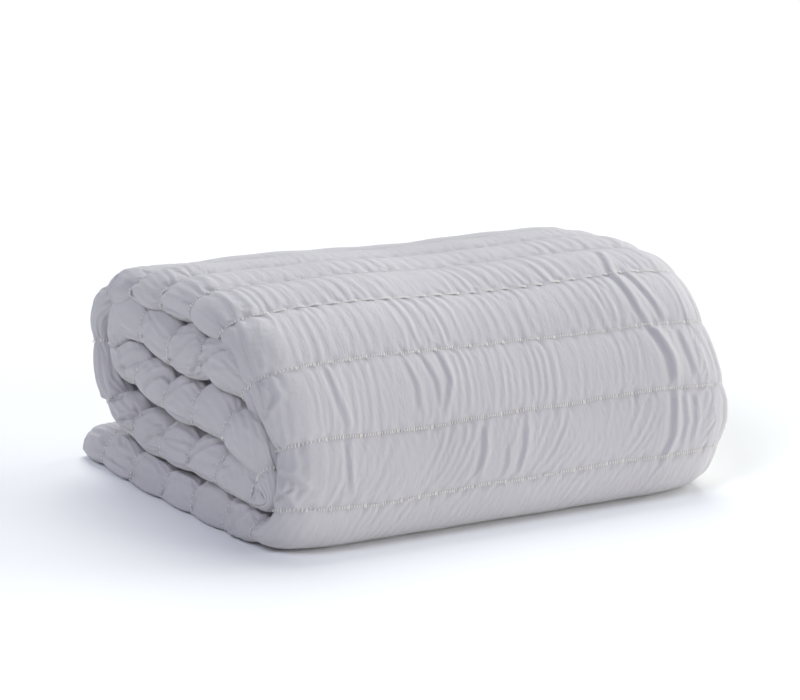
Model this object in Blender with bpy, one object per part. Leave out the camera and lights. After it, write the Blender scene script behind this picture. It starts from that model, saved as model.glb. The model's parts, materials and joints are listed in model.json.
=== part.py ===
"""A quilted coverlet, folded in quarters across its width and wound into a bundle that lies on a surface.

The sheet is one closed solid. Its section across the strip goes back and forth in four layers, a little apart.
That section is carried along the winding line, which starts at the outer hem, under the back of the bundle.

X runs along the bundle, with the folded edges at -X and the hems at +X. Y runs from the front to the back, and
Z is up. The origin is on the surface, below the middle of the bundle. Run with
blender --background --python part.py.
"""

import math
from typing import NamedTuple

import bmesh
import bpy
import numpy as np

MM = 0.001

SHEET_NAME = "coverlet"
SHEET_COLOUR = (0.63, 0.62, 0.67, 1.0)
SHEET_ROUGHNESS = 0.85

RIGHT_EDGE = 0.298
HEM_INSET = 0.004

GAP_SHARE = 0.04
OUTER_TURN_CUTS = 7
INNER_TURN_CUTS = 4

DRAWN_IN_FROM = 0.20
DRAWN_IN_TO = 0.30
DRAWN_IN_SHARE = 0.035
CROSS_CUTS = (-DRAWN_IN_FROM, 0.0, DRAWN_IN_FROM)

LONGEST_STEP = 0.06
WIDEST_STEP = math.radians(21.0)
FLOOR_SNAP = 0.0003


class Bend(NamedTuple):
    """A place on the winding line, seen from the folded edges: lengths in mm, heading in degrees from +Y."""

    name: str
    y: float
    z: float
    heading: float
    pull_in: float
    pull_out: float
    thickness: float
    left_edge: float


BENDS = (
    Bend("outer hem", 221, 7.5, 180, 0, 11, 15, -293),
    Bend("hem swell", 185, 17.5, 180, 11, 34, 35, -293),
    Bend("bottom run, back", 118, 14.5, 180, 28, 90, 29, -293),
    Bend("bottom run, front", -205, 14.5, 180, 90, 13, 29, -280),
    Bend("toe", -229, 37, 90, 12, 22, 27, -269),
    Bend("front", -199, 103, 66, 28, 31, 29, -269),
    Bend("brow", -135, 180, 42, 34, 31, 31, -272),
    Bend("crown, front", -47, 221, 8, 31, 39, 32, -274),
    Bend("crown, back", 67, 217, -6, 39, 39, 32, -278),
    Bend("top run, back", 163, 198, -24, 28, 22, 31, -282),
    Bend("outer back turn", 201, 154, -90, 25, 25, 29, -293),
    Bend("back, low", 177, 96, -122, 20, 20, 34, -293),
    Bend("lower run, back", 118, 67, -166, 22, 45, 47, -293),
    Bend("lower run, middle", 0, 59, -180, 45, 45, 51, -293),
    Bend("lower run, front", -106, 56, -178, 34, 22, 47, -291),
    Bend("before the tip", -167, 41.5, -172, 22, 14, 16, -280),
    Bend("front tip", -196, 50, -282, 11, 8, 14, -269),
    Bend("flap", -181, 73, -318, 12, 16, 23, -274),
    Bend("middle run, front", -125, 101, -341, 20, 34, 35, -285),
    Bend("middle run, middle", 0, 111, -358, 45, 45, 45, -291),
    Bend("middle run, back", 125, 130, -352, 34, 13, 33, -291),
    Bend("inner back turn", 149, 151, -270, 12, 12, 30, -289),
    Bend("upper run, back", 125, 172.5, -184, 13, 34, 33, -289),
    Bend("upper run, middle", 0, 168, -178, 34, 34, 52, -291),
    Bend("upper run, front", -93, 158, -166, 32, 18, 31, -285),
    Bend("inner bend", -140, 132, -130, 18, 12, 17, -278),
    Bend("inner hem", -166, 109, -130, 12, 0, 11, -272),
)


class Station(NamedTuple):
    """One place on the winding line: its point and outward normal in the Y-Z plane, and the strip there."""

    point: np.ndarray
    normal: np.ndarray
    thickness: float
    left_edge: float


def direction(degrees):
    """The unit vector in the Y-Z plane at an angle from +Y."""
    angle = math.radians(degrees)
    return np.array([math.cos(angle), math.sin(angle)])


def bezier_point(controls, t):
    """A point of the cubic curve through four control points."""
    a, b, c, d = controls
    s = 1.0 - t
    return s**3 * a + 3 * s * s * t * b + 3 * s * t * t * c + t**3 * d


def bezier_heading(controls, t):
    """The unit direction of travel of the same curve."""
    a, b, c, d = controls
    s = 1.0 - t
    travel = s * s * (b - a) + 2 * s * t * (c - b) + t * t * (d - c)
    return travel / np.linalg.norm(travel)


def turned_angle(controls, samples=24):
    """How far the curve turns in all, with turns both ways counted."""
    headings = [bezier_heading(controls, (i + 0.5) / samples) for i in range(samples)]
    return sum(math.acos(min(1.0, float(a @ b))) for a, b in zip(headings, headings[1:]))


def stations_between(start, end):
    """The stations of one curve from one bend towards the next, without the last."""
    first = np.array([start.y, start.z]) * MM
    last = np.array([end.y, end.z]) * MM
    controls = (
        first,
        first + direction(start.heading) * start.pull_out * MM,
        last - direction(end.heading) * end.pull_in * MM,
        last,
    )
    by_length = math.ceil(np.linalg.norm(last - first) / LONGEST_STEP)
    by_turn = math.ceil(turned_angle(controls) / WIDEST_STEP)
    count = max(by_length, by_turn, 1)
    return [station_at(controls, start, end, i / count) for i in range(count)]


def station_at(controls, start, end, t):
    """The station at t along one curve, with the strip's sizes eased between its two bends."""
    travel = bezier_heading(controls, t)
    ease = t * t * (3.0 - 2.0 * t)
    thickness = start.thickness + (end.thickness - start.thickness) * ease
    left_edge = start.left_edge + (end.left_edge - start.left_edge) * ease
    normal = np.array([-travel[1], travel[0]])
    return Station(bezier_point(controls, t), normal, thickness * MM, left_edge * MM)


def winding_line():
    """Every station from the outer hem to the inner hem."""
    stations = []
    for start, end in zip(BENDS, BENDS[1:]):
        stations += stations_between(start, end)
    last = BENDS[-1]
    travel = direction(last.heading)
    normal = np.array([-travel[1], travel[0]])
    stations.append(
        Station(np.array([last.y, last.z]) * MM, normal, last.thickness * MM, last.left_edge * MM)
    )
    return stations


def layer_run(x_from, x_to, height, facing):
    """Centre points of one flat layer along X, with the way that its first side faces, up or down."""
    cuts = sorted(CROSS_CUTS, reverse=x_from > x_to)
    return [((x, height), (0.0, facing)) for x in (x_from, *cuts, x_to)]


def layer_turn(x, height, radius, start, end, cuts):
    """Centre points of the half-turn that joins two layers, without its ends. start and end are in degrees."""
    facing = 1.0 if end > start else -1.0
    points = []
    for i in range(1, cuts):
        out = direction(start + (end - start) * i / cuts)
        points.append(((x + radius * out[0], height + radius * out[1]), (facing * out[0], facing * out[1])))
    return points


def strip_section(thickness, left_edge):
    """The centre line of the four layers, as X and height over the winding line, and one layer's thickness."""
    gap = thickness * GAP_SHARE
    layer = (thickness - 3 * gap) / 4
    pitch = layer + gap
    left = left_edge + thickness / 2
    right = RIGHT_EDGE - pitch / 2 - layer / 2
    hem = RIGHT_EDGE - HEM_INSET
    line = layer_run(hem, left, 1.5 * pitch, 1.0)
    line += layer_turn(left, 0.0, 1.5 * pitch, 90, 270, OUTER_TURN_CUTS)
    line += layer_run(left, right, -1.5 * pitch, -1.0)
    line += layer_turn(right, -pitch, pitch / 2, -90, 90, INNER_TURN_CUTS)
    line += layer_run(right, left, -0.5 * pitch, 1.0)
    line += layer_turn(left, 0.0, pitch / 2, 270, 90, INNER_TURN_CUTS)
    line += layer_run(left, hem, 0.5 * pitch, -1.0)
    return line, layer


def drawn_in(x):
    """The share of its size that the bundle keeps at X, because its ends are drawn in a little."""
    reach = max(0.0, abs(x) - DRAWN_IN_FROM) / (DRAWN_IN_TO - DRAWN_IN_FROM)
    return 1.0 - DRAWN_IN_SHARE * reach * reach


def placed(x, height, station):
    """A section point in the world. What would be below the surface lies flat on it."""
    y, z = (station.point + station.normal * height) * drawn_in(x)
    return (x, y, 0.0 if z < FLOOR_SNAP else z)


def station_rows(station):
    """The world points of both sides of the folded sheet at one station."""
    line, layer = strip_section(station.thickness, station.left_edge)
    rows = []
    for side in (0.5, -0.5):
        offset = side * layer
        rows.append([placed(x + way[0] * offset, h + way[1] * offset, station) for (x, h), way in line])
    return rows


def centre_over_origin(shape):
    """Moves the bundle along the surface until the middle of its box is over the origin."""
    for axis in (0, 1):
        places = [v.co[axis] for v in shape.verts]
        middle = (min(places) + max(places)) / 2
        for v in shape.verts:
            v.co[axis] -= middle


def sheet_mesh(name, stations):
    """The closed mesh of the folded sheet: both sides, the two side hems and the two end hems."""
    mesh = bpy.data.meshes.new(name)
    shape = bmesh.new()
    rows = [[[shape.verts.new(p) for p in row] for row in station_rows(s)] for s in stations]
    for here, there in zip(rows, rows[1:]):
        for side in (0, 1):
            for i in range(len(here[side]) - 1):
                shape.faces.new((here[side][i], here[side][i + 1], there[side][i + 1], there[side][i]))
        for edge in (0, -1):
            shape.faces.new((here[0][edge], here[1][edge], there[1][edge], there[0][edge]))
    for end in (rows[0], rows[-1]):
        for i in range(len(end[0]) - 1):
            shape.faces.new((end[0][i], end[0][i + 1], end[1][i + 1], end[1][i]))
    bmesh.ops.recalc_face_normals(shape, faces=shape.faces)
    centre_over_origin(shape)
    shape.to_mesh(mesh)
    shape.free()
    return mesh


def fabric_material():
    """The plain pale lavender-grey cloth."""
    material = bpy.data.materials.new(SHEET_NAME + " cloth")
    material.use_nodes = True
    shader = material.node_tree.nodes["Principled BSDF"]
    shader.inputs["Base Color"].default_value = SHEET_COLOUR
    shader.inputs["Roughness"].default_value = SHEET_ROUGHNESS
    shader.inputs["Metallic"].default_value = 0.0
    return material


def build_coverlet():
    """The folded coverlet as one object."""
    mesh = sheet_mesh(SHEET_NAME, winding_line())
    mesh.materials.append(fabric_material())
    mesh.shade_smooth()
    mesh.set_sharp_from_angle(angle=math.radians(50))
    coverlet = bpy.data.objects.new(SHEET_NAME, mesh)
    bpy.context.scene.collection.objects.link(coverlet)
    return coverlet


def main():
    for item in list(bpy.data.objects):
        bpy.data.objects.remove(item)
    build_coverlet()


main()
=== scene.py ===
"""A quilted coverlet, folded in quarters across its width and wound into a bundle, on a pale studio floor.

The cloth is one folded and wound sheet. Every point of it is known by its place along the winding line and its
place around the four-layer section, so that the quilting, the puckers and the stitches all follow the cloth.
"""

import json
import logging
import math
from dataclasses import dataclass, field, fields
from enum import Enum
from functools import cached_property

import bpy
import numpy as np
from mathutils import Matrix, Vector

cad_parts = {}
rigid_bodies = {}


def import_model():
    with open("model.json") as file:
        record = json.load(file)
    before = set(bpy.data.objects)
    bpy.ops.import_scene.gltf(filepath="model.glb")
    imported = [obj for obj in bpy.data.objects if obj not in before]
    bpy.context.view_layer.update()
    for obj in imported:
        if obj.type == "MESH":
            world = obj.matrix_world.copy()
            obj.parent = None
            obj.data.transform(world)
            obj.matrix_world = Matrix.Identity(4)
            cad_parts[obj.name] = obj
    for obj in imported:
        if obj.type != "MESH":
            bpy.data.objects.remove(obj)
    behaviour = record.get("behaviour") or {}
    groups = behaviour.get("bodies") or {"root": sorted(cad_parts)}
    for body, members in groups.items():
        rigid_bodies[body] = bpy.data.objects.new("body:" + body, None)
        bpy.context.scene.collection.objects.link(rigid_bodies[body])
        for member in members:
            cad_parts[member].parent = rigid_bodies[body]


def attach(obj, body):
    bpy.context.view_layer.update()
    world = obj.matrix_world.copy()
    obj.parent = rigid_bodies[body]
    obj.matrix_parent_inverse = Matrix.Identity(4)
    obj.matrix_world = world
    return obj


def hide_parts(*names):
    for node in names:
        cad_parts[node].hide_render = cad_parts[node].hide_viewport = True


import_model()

LOG = logging.getLogger("coverlet")
MM = 0.001
NODE = "coverlet"
CUT_MAP = "Cut"
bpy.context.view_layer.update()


class Side(Enum):
    """The two sides of the cloth."""

    FACE = 1
    BACK = -1


class Leg(Enum):
    """The seven legs of the section, from the hem of the outermost layer to the hem of the second."""

    OUTER = 0
    OUTER_TURN = 1
    INNERMOST = 2
    RIGHT_FOLD = 3
    THIRD = 4
    INNER_TURN = 5
    SECOND = 6


# ------------------------------------------------------------------ winding line


@dataclass(frozen=True)
class Bend:
    """A place on the winding line, seen from the folded edges: lengths in mm, heading in degrees from +Y."""

    name: str
    y: float
    z: float
    heading: float
    pull_in: float
    pull_out: float
    thickness: float
    left_edge: float


BENDS = (
    Bend("outer hem", 224, 17, 180, 0, 13, 34, -306),
    Bend("hem swell", 185, 18.5, 180, 11, 34, 37, -305),
    Bend("bottom run, back", 118, 14.5, 180, 28, 90, 29, -302),
    Bend("bottom run, front", -205, 14.5, 180, 90, 13, 29, -282),
    Bend("toe", -229, 37, 90, 12, 22, 27, -271),
    Bend("front", -199, 103, 66, 28, 31, 29, -254),
    Bend("brow", -135, 180, 42, 34, 31, 31, -265),
    Bend("crown, front", -47, 221, 8, 31, 39, 32, -275),
    Bend("crown, back", 67, 218, -6, 39, 39, 34, -284),
    Bend("top run, back", 163, 199, -24, 28, 22, 33, -291),
    Bend("outer back turn", 203, 154, -90, 25, 25, 29, -295),
    Bend("back, low", 178, 96, -122, 20, 20, 34, -299),
    Bend("lower run, back", 118, 67, -166, 22, 45, 47, -296),
    Bend("lower run, middle", 0, 59, -180, 45, 45, 51, -293),
    Bend("lower run, front", -106, 60, -178, 34, 22, 50, -290),
    Bend("before the tip", -165, 50, -172, 22, 12, 30, -279),
    Bend("front tip", -198, 58, -280, 10, 8, 20, -267),
    Bend("flap", -183, 78, -315, 12, 16, 26, -272),
    Bend("middle run, front", -125, 108, -345, 20, 34, 42, -284),
    Bend("middle run, middle", 0, 111, -358, 45, 45, 45, -291),
    Bend("middle run, back", 125, 130, -352, 34, 13, 33, -291),
    Bend("inner back turn", 151, 151, -270, 12, 12, 30, -294),
    Bend("upper run, back", 125, 172.5, -184, 13, 34, 33, -289),
    Bend("upper run, middle", 0, 168, -178, 34, 34, 52, -291),
    Bend("upper run, front", -93, 168, -168, 32, 20, 39, -283),
    Bend("inner bend", -143, 140, -132, 18, 12, 26, -261),
    Bend("inner hem", -171, 111, -128, 12, 6, 20, -252),
    Bend("tucked end", -187, 91, -126, 8, 0, 10, -244),
)

# The table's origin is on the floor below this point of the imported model, in metres.
TABLE_ORIGIN = (-0.0026, 0.01075)


@dataclass(frozen=True)
class LineState:
    """What the winding line is like at an array of places along it, in metres and radians."""

    y: np.ndarray
    z: np.ndarray
    turn: np.ndarray
    thickness: np.ndarray
    left_edge: np.ndarray


@dataclass
class WindingLine:
    """The middle line of the folded strip in the Y-Z plane, from the outer hem to the tucked inner end."""

    bends: tuple[Bend, ...] = BENDS
    samples: int = 240

    @cached_property
    def _dense(self) -> dict[str, np.ndarray]:
        """Samples the line finely, once.

        Returns:
            The length up to each sample, its place, turned angle, thickness and left edge, by name.
        """
        t = np.arange(self.samples) / self.samples
        rows = []
        for start, end in zip(self.bends, self.bends[1:]):
            rows.append(self._span(start, end, t))
        last = self._span(self.bends[-2], self.bends[-1], np.array([1.0]))
        table = np.concatenate([*rows, last]) * np.array([MM, MM, 1.0, MM, MM])
        steps = np.linalg.norm(np.diff(table[:, :2], axis=0), axis=1)
        return {
            "length": np.concatenate([[0.0], np.cumsum(steps)]),
            "y": table[:, 0],
            "z": table[:, 1],
            "turn": np.unwrap(table[:, 2]),
            "thickness": table[:, 3],
            "left_edge": table[:, 4],
        }

    @staticmethod
    def _span(start: Bend, end: Bend, t: np.ndarray) -> np.ndarray:
        """Samples of one cubic span.

        Args:
            start: the bend that it leaves.
            end: the bend that it comes to.
            t: parameters from 0 to 1.

        Returns:
            Rows of y, z, travel angle, thickness and left edge, in mm and radians.
        """

        def way(angle: float) -> np.ndarray:
            """The unit vector at an angle in degrees."""
            return np.array([math.cos(math.radians(angle)), math.sin(math.radians(angle))])

        a, d = np.array([start.y, start.z], float), np.array([end.y, end.z], float)
        b, c = a + way(start.heading) * start.pull_out, d - way(end.heading) * end.pull_in
        t = t[:, None]
        s = 1.0 - t
        point = s**3 * a + 3 * s * s * t * b + 3 * s * t * t * c + t**3 * d
        travel = s * s * (b - a) + 2 * s * t * (c - b) + t * t * (d - c)
        ease = t * t * (3.0 - 2.0 * t)
        thickness = start.thickness + (end.thickness - start.thickness) * ease
        left = start.left_edge + (end.left_edge - start.left_edge) * ease
        angle = np.arctan2(travel[:, 1:], travel[:, :1])
        return np.concatenate([point, angle, thickness, left], axis=1)

    @property
    def length(self) -> float:
        """The whole length of the line, in metres."""
        return float(self._dense["length"][-1])

    def at(self, along: np.ndarray) -> LineState:
        """The line's state at places along it.

        Args:
            along: lengths from the outer hem, in metres.

        Returns:
            The state, in arrays of the same shape.
        """
        dense = self._dense
        along = np.asarray(along, float)
        names = [one.name for one in fields(LineState)]
        return LineState(**{name: np.interp(along, dense["length"], dense[name]) for name in names})


# ------------------------------------------------------------------ quilting


@dataclass(frozen=True)
class StitchLine:
    """One stitched line across the cloth: mm to it from the one before, and mm that its inner side lies ahead."""

    spacing: float
    lead: float = 0.0


# Millimetres from each line to the next, and the lines whose inner side lies ahead of or behind the outer one.
SPACINGS = (57, 75, 76, 67, 72, 66, 63, 70, 76, 73, 67, 66, 74, 59, 68, 72,
            66, 72, 72, 68, 63, 54, 70, 69, 72, 77, 62, 81, 78, 74, 67)
LEADS = {13: -26, 15: 22, 25: 30, 29: -28}
STITCH_LINES = tuple(StitchLine(spacing, LEADS.get(number, 0.0)) for number, spacing in enumerate(SPACINGS))


@dataclass(frozen=True)
class Loft:
    """How the channels swell at one place along the strip: its place in mm from the outer hem, then its shares.

    The pinch is the share that a stitched line draws the layers in. A higher fullness gives a flatter top, and a
    higher steepness softer sides. Excess is the share of cloth that the thread gathers, and lean is how far its
    folds go to the left for each mm down.
    """

    along: float
    pinch: float
    fullness: float
    steepness: float
    excess: float
    lean: float


LOFTS = (
    Loft(0, 0.16, 2.4, 0.60, 0.024, 0.0),
    Loft(413, 0.12, 2.2, 0.70, 0.024, 0.7),
    Loft(479, 0.05, 2.0, 0.80, 0.024, 0.7),
    Loft(547, 0.05, 2.0, 0.85, 0.024, 0.3),
    Loft(620, 0.07, 2.0, 0.85, 0.024, 0.0),
    Loft(696, 0.02, 1.7, 1.05, 0.024, -0.15),
    Loft(763, 0.26, 1.9, 0.80, 0.018, -0.15),
    Loft(828, 0.36, 2.0, 0.66, 0.018, -0.1),
    Loft(903, 0.46, 2.0, 0.64, 0.012, 0.0),
    Loft(1030, 0.38, 2.1, 0.62, 0.028, 0.0),
    Loft(1168, 0.30, 2.3, 0.60, 0.034, 0.0),
    Loft(2230, 0.30, 2.3, 0.60, 0.024, 0.0),
)


@dataclass(frozen=True)
class FoldedEdge:
    """The shape of the folded edges on the left at one place: mm along the strip, then mm and shares.

    The outer and inner growths are how much fatter the fold is than the strip, on each side of the winding line.
    Length is the fold's depth along X over its natural one, and tip is where its edge lies between the inner side,
    at -1, and the middle, at 0. The rim's pinch and fullness are as a channel's.
    """

    along: float
    outer: float
    inner: float
    length: float
    tip: float
    pinch: float
    fullness: float


FOLDED_EDGES = tuple(
    FoldedEdge(*row)
    for row in (
        (0, 0, 2, 1.5, 0.6, 0.055, 3.0), (60, 0, 8, 1.3, 0.7, 0.132, 2.2), (105, 0, 15, 1.1, 0.8, 0.143, 2.1),
        (180, 0, 9, 1.1, 0.8, 0.143, 2.1), (245, 0, 10, 1.1, 0.8, 0.143, 2.1),
        (300, 0, 15, 1.1, 0.75, 0.143, 2.1), (357, 0, 19, 1.2, 0.6, 0.132, 2.1),
        (390, 0, 15, 1.6, 0.3, 0.121, 2.1), (430, 0, 6, 2.8, -0.2, 0.11, 2.2),
        (480, 0, 1, 3.7, -0.6, 0.088, 2.2), (620, 0, 2, 3.9, -0.65, 0.099, 2.2),
        (700, 0, 10, 3.6, -0.6, 0.09, 2.2), (760, 0, 14, 3.0, -0.45, 0.11, 2.2),
        (880, 2, 8, 2.3, -0.25, 0.198, 2.2), (940, 5, 5, 1.7, -0.1, 0.198, 2.2),
        (1010, 5, 3, 1.3, 0, 0.187, 2.1), (1075, 1, 3, 1.2, 0, 0.176, 2.1), (1142, -3, 5, 1.1, 0, 0.165, 2.1),
        (1200, -3, 11, 1.1, 0, 0.165, 2.1), (1261, -6, 12, 1.1, 0, 0.165, 2.1),
        (1320, -11, 14, 1.1, 0, 0.165, 2.1), (1367, -12, 15, 1.1, 0, 0.165, 2.1),
        (1400, -9, 19, 1.1, 0, 0.154, 2.1), (1430, -8, 20, 1.2, 0, 0.143, 2.1),
        (1452, -3, 16, 1.3, 0, 0.121, 2.1), (1474, 0, 12, 1.3, 0, 0.121, 2.1),
        (1500, 8, 2, 1.3, 0, 0.121, 2.1), (1535, 18, -4, 1.2, 0, 0.154, 2.1),
        (1570, 20, -8, 1.1, 0, 0.165, 2.1), (1615, 19, -9, 1.0, 0, 0.165, 2.1),
        (1695, 12, -9, 1.0, 0, 0.165, 2.1), (1760, 11, 0, 1.0, 0, 0.165, 2.1),
        (1822, 13, 8, 1.0, 0, 0.165, 2.1), (1857, 9, 24, 1.1, 0, 0.176, 2.1),
        (1893, 2, 20, 1.1, 0, 0.176, 2.1), (1955, -4, 10, 1.0, 0, 0.165, 2.1),
        (2018, -4, 8, 1.0, 0, 0.165, 2.1), (2065, -2, 11, 1.0, 0, 0.165, 2.1),
        (2112, -4, 8, 1.1, 0, 0.165, 2.1), (2140, -2, 10, 1.3, 0, 0.132, 2.1), (2170, 0, 5, 1.4, 0, 0.11, 2.1),
        (2245, 0, 3, 1.4, 0, 0.077, 2.1),
    )
)


@dataclass(frozen=True)
class RightEnd:
    """How far the hems on the right stand back at one place along the strip, in mm."""

    along: float
    back: float


RIGHT_END = tuple(
    RightEnd(*row)
    for row in (
        (0, 6), (300, 12), (400, 28), (440, 40), (460, 34), (480, 20), (500, 9), (525, 3), (640, 0), (700, -3),
        (760, 4), (820, 6), (880, 0), (1100, 2), (1300, 8), (1460, 22), (1560, 8), (2230, 5),
    )
)


Table = tuple[Loft, ...] | tuple[FoldedEdge, ...] | tuple[RightEnd, ...]


def between(table: Table, name: str, along: np.ndarray) -> np.ndarray:
    """Reads a table of places along the strip between its rows.

    Args:
        table: rows in rising order of their places in mm.
        name: the field to read.
        along: lengths from the outer hem, in metres.

    Returns:
        The field's values there.
    """
    return np.interp(along, [row.along * MM for row in table], [getattr(row, name) for row in table])


@dataclass(frozen=True)
class Crease:
    """A main crease: points of (X, mm from the outer hem), then its depth and half width in mm.

    The lip is the height of the ridge beside it, as a share of its depth.
    """

    name: str
    points: tuple[tuple[float, float], ...]
    depth: float
    half_width: float
    lip: float = 0.6


CREASES = (
    Crease("long crease, top", ((217, 742), (208, 696), (212, 640), (217, 622)), 2.08, 3.51, 0.9),
    Crease("long crease, front", ((217, 622), (222, 604), (227, 580), (224, 552)), 3.52, 4.32, 0.9),
    Crease("long crease, low", ((222, 546), (216, 522), (206, 494), (186, 470)), 2.4, 3.78, 0.8),
    Crease("beside the long crease", ((226, 700), (231, 667), (238, 640), (240, 622)), 1.6, 3.24, 0.8),
    Crease("right, upper", ((252, 612), (252, 582), (256, 552)), 1.6, 3.51, 0.7),
    Crease("right, low a", ((232, 540), (228, 506), (214, 480)), 1.44, 3.24, 0.8),
    Crease("right, low b", ((248, 540), (240, 506), (226, 480)), 1.28, 3.24, 0.8),
    Crease("right end", ((276, 612), (281, 586), (284, 552)), 1.44, 3.78, 0.6),
    Crease("front, middle a", ((-47, 620), (-46, 585), (-62, 556)), 1.6, 2.97, 0.9),
    Crease("front, middle b", ((-68, 618), (-62, 585), (-65, 560)), 1.28, 2.7, 0.8),
    Crease("front, middle c", ((-90, 614), (-87, 585), (-91, 558)), 1.28, 2.97, 0.7),
    Crease("front, left", ((-184, 618), (-182, 580), (-176, 552)), 1.2, 3.51, 0.6),
    Crease("low front a", ((-19, 536), (-27, 508), (-42, 482)), 1.76, 3.24, 0.9),
    Crease("low front b", ((31, 532), (23, 507), (8, 482)), 1.6, 3.24, 0.8),
    Crease("low front c", ((5, 512), (-2, 494), (-12, 478)), 1.28, 2.97, 0.7),
    Crease("corner, low", ((-257, 528), (-251, 518), (-244, 505), (-237, 495)), 2.6, 3.2, 0.8),
    Crease("corner, toe", ((-262, 508), (-257, 491), (-253, 478)), 2.2, 3.0, 0.8),
    Crease("corner, upper", ((-241, 600), (-246, 591), (-253, 586), (-257, 580), (-256, 566)), 2.8, 3.4, 0.8),
    Crease("corner, middle", ((-250, 572), (-256, 560), (-259, 550)), 2.0, 3.0, 0.7),
    Crease("low front d", ((-182, 542), (-186, 515), (-190, 488)), 1.2, 2.7, 0.7),
)


@dataclass(frozen=True)
class RimCrease:
    """A crease on the folded edges: points of (place around the section, mm from the outer hem).

    Its depth, half width and lip are as a main crease's.
    """

    name: str
    points: tuple[tuple[float, float], ...]
    depth: float
    half_width: float = 2.3
    lip: float = 0.4


# Places around the section: where the outer layer ends under the folded edges, and where a rim has to have begun.
OUTER_LAYER_END = 1.45
RIM_START = 1.1

# How far past its ends a crease can still be felt, in metres.
CREASE_REACH = 0.012

RIM_CREASES = (
    RimCrease("third run, middle", ((1.46, 1749), (1.35, 1739), (1.24, 1725), (1.14, 1708)), 4.2),
    RimCrease("third run, back", ((1.62, 1818), (1.48, 1803), (1.34, 1789), (1.14, 1770)), 4.2),
    RimCrease("third run, front", ((1.40, 1692), (1.28, 1674), (1.16, 1654)), 3.0),
    RimCrease("third run, turn", ((1.60, 1850), (1.45, 1843), (1.27, 1832), (1.13, 1806)), 3.8),
    RimCrease("second run, front", ((1.82, 2108), (1.62, 2092), (1.44, 2072), (1.30, 2062)), 4.2),
    RimCrease("second run, middle", ((1.34, 2000), (1.54, 2025), (1.70, 2055)), 3.0),
    RimCrease("second run, back", ((1.30, 1925), (1.50, 1932), (1.72, 1950)), 2.6),
    RimCrease("fourth run, back", ((1.50, 1140), (1.64, 1152), (1.72, 1160), (1.86, 1190)), 4.2),
    RimCrease("fourth run, middle", ((1.52, 1212), (1.65, 1228), (1.82, 1258)), 3.6),
    RimCrease("fourth run, front", ((1.54, 1312), (1.67, 1333), (1.82, 1362)), 3.6),
    RimCrease("back turn, low", ((1.38, 1091), (1.52, 1100), (1.66, 1108), (1.86, 1126)), 3.6),
    RimCrease("back turn, top", ((1.33, 934), (1.50, 943), (1.70, 945)), 2.4),
    RimCrease("tip", ((1.84, 1440), (1.70, 1440), (1.55, 1448)), 3.6),
    RimCrease("fifth run, a", ((1.87, 152), (1.70, 140), (1.52, 133)), 3.0),
    RimCrease("fifth run, b", ((1.87, 227), (1.70, 216), (1.54, 209)), 3.0),
    RimCrease("fifth run, c", ((1.87, 294), (1.70, 283), (1.54, 276)), 3.0),
    RimCrease("fifth run, d", ((1.72, 394), (1.60, 379), (1.44, 367)), 3.0),
    RimCrease("fifth run, e", ((1.86, 366), (1.80, 388), (1.74, 406)), 2.8),
    RimCrease("corner", ((1.52, 493), (1.43, 495), (1.36, 499)), 2.2),
)


def smooth(low: float, high: float, value: np.ndarray) -> np.ndarray:
    """Steps up softly.

    Args:
        low: where the step starts. It may be above high, and then the step goes down.
        high: where it ends.
        value: the places.

    Returns:
        Shares, 0 at low and 1 at high.
    """
    t = np.clip((value - low) / (high - low), 0.0, 1.0)
    return t * t * (3.0 - 2.0 * t)


@dataclass(frozen=True)
class Flat:
    """A flat leg of the section: the sizes where it starts and ends, its height in pitches and its face's way."""

    start: str
    end: str
    height: float
    face: float


@dataclass(frozen=True)
class Turn:
    """A turn of the section: its centre, its height and radius in pitches, its angles and which side is out."""

    centre: str
    height: float
    radius: float
    from_angle: float
    to_angle: float
    out: float


# How many pitches the outermost layer lies from the winding line.
OUTER_PITCHES = 1.5
FLATS = {
    Leg.OUTER: Flat("hem", "left", OUTER_PITCHES, 1.0),
    Leg.INNERMOST: Flat("left", "right", -OUTER_PITCHES, -1.0),
    Leg.THIRD: Flat("right", "left", -0.5, 1.0),
    Leg.SECOND: Flat("left", "hem", 0.5, -1.0),
}
TURNS = {
    Leg.OUTER_TURN: Turn("left", 0.0, OUTER_PITCHES, 90.0, 270.0, 1.0),
    Leg.RIGHT_FOLD: Turn("right", -1.0, 0.5, -90.0, 90.0, 1.0),
    Leg.INNER_TURN: Turn("left", 0.0, 0.5, 270.0, 90.0, -1.0),
}


@dataclass(frozen=True)
class FoldSizes:
    """What the section is built from at an array of places, in metres.

    Full is half a full ply, pitch is from one layer to the next, and depth is how far the folded edges reach along X,
    stretched over their natural depth. The nominal left is without the pull of the stitched lines.
    """

    full: np.ndarray
    pitch: np.ndarray
    stretch: np.ndarray
    depth: np.ndarray
    tip: np.ndarray
    left_nominal: np.ndarray
    left: np.ndarray
    right: np.ndarray
    hem: np.ndarray
    right_edge: np.ndarray


@dataclass
class Section:
    """The four-layer section at an array of places: the middle of the cloth, where its face looks, and its sizes.

    Height is over the winding line, width is the cut's width place, and half is half of the cloth's thickness.
    """

    x: np.ndarray
    height: np.ndarray
    face_x: np.ndarray
    face_h: np.ndarray
    width: np.ndarray
    half: np.ndarray


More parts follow.
